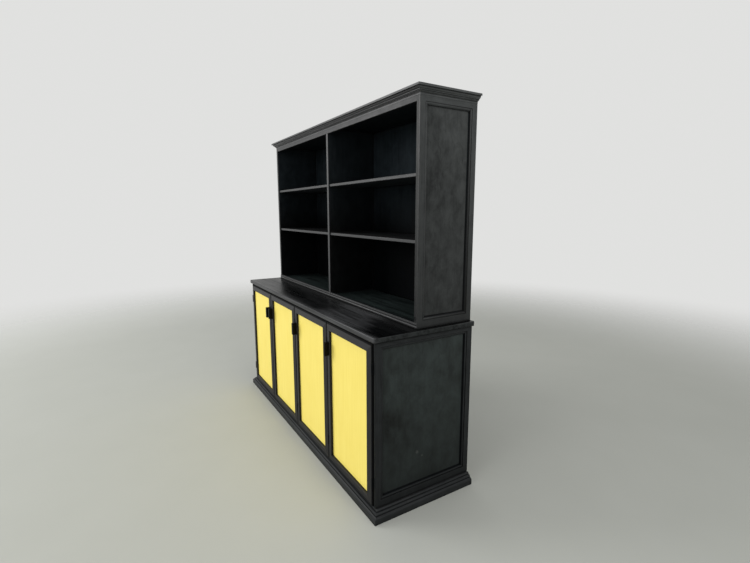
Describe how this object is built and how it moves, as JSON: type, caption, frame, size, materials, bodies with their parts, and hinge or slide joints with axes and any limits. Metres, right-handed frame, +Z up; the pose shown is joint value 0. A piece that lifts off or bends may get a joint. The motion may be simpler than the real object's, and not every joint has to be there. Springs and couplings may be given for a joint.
{
  "type": "credenza with open hutch",
  "caption": "Long black base cupboard with framed yellow doors that swing on butt hinges, under a shallower open shelved hutch with a cornice.",
  "frame": {"origin": "on the floor, in the middle of the box round the part", "axes": "+X to the right along the front, -Y out of the front into the room, +Z up"},
  "size_m": [2.132, 0.6524, 2.1],
  "materials": {
    "painted_carcass": "black satin paint on board, faint brush marks",
    "painted_moulding": "black satin paint on timber moulding",
    "painted_doors": "black satin paint on mitred door members",
    "yellow_panel": "pale yellow satin paint, faint upright streaks",
    "dark_worktop": "near-black stained worktop with a low sheen",
    "dark_back": "dark stained back panel",
    "plain_timber": "bare softwood",
    "black_metal": "black powder coat",
    "hinge_steel": "dulled steel",
    "catch_plastic": "black plastic with a magnet"
  },
  "bodies": {
    "cabinet": {"base_back": "dark_back", "base_bottom": "painted_carcass", "base_centre_partition": "painted_carcass", "base_left_frame": "painted_carcass", "base_left_side": "painted_carcass", "base_panel_beads": "painted_moulding", "base_right_frame": "painted_carcass", "base_right_partition": "painted_carcass", "base_right_side": "painted_carcass", "base_shelf_left": "painted_carcass", "base_shelf_middle": "painted_carcass", "base_shelf_right": "painted_carcass", "base_top_rails": "painted_carcass", "cornice_front": "painted_moulding", "cornice_left": "painted_moulding", "cornice_right": "painted_moulding", "door_catches": "catch_plastic", "hinge_leaves_fixed": "hinge_steel", "hinge_pins": "hinge_steel", "hinge_screws": "hinge_steel", "hutch_back": "dark_back", "hutch_bottom": "painted_carcass", "hutch_divider": "painted_carcass", "hutch_dowels": "plain_timber", "hutch_foot_moulding": "painted_moulding", "hutch_foot_rail": "painted_carcass", "hutch_header": "painted_carcass", "hutch_left_frame": "painted_carcass", "hutch_left_side": "painted_carcass", "hutch_panel_beads": "painted_moulding", "hutch_right_frame": "painted_carcass", "hutch_right_side": "painted_carcass", "hutch_top": "painted_carcass", "plinth_bearers": "plain_timber", "plinth_long_boards": "plain_timber", "plinth_moulding_front": "painted_moulding", "plinth_moulding_left": "painted_moulding", "plinth_moulding_right": "painted_moulding", "shelf_lower_left": "painted_carcass", "shelf_lower_right": "painted_carcass", "shelf_pins": "hinge_steel", "shelf_upper_left": "painted_carcass", "shelf_upper_right": "painted_carcass", "worktop": "dark_worktop"},
    "door_1": {"door_1_frame": "painted_doors", "door_1_handle": "black_metal", "door_1_hinge_leaves": "hinge_steel", "door_1_panel": "yellow_panel"},
    "door_2": {"door_2_frame": "painted_doors", "door_2_handle": "black_metal", "door_2_hinge_leaves": "hinge_steel", "door_2_panel": "yellow_panel"},
    "door_3": {"door_3_frame": "painted_doors", "door_3_handle": "black_metal", "door_3_hinge_leaves": "hinge_steel", "door_3_panel": "yellow_panel"},
    "door_4": {"door_4_frame": "painted_doors", "door_4_handle": "black_metal", "door_4_hinge_leaves": "hinge_steel", "door_4_panel": "yellow_panel"}
  },
  "joints": [
    {"name": "door_1_hinge", "type": "hinge", "parent": "cabinet", "child": "door_1", "pos_m": [-1.003, -0.29525, 0.4835], "axis": [0, 0, -1], "range_deg": [0, 105]},
    {"name": "door_2_hinge", "type": "hinge", "parent": "cabinet", "child": "door_2", "pos_m": [-0.0015, -0.29525, 0.4835], "axis": [0, 0, 1], "range_deg": [0, 105]},
    {"name": "door_3_hinge", "type": "hinge", "parent": "cabinet", "child": "door_3", "pos_m": [0.50075, -0.29525, 0.4835], "axis": [0, 0, 1], "range_deg": [0, 105]},
    {"name": "door_4_hinge", "type": "hinge", "parent": "cabinet", "child": "door_4", "pos_m": [1.003, -0.29525, 0.4835], "axis": [0, 0, 1], "range_deg": [0, 105]}
  ]
}
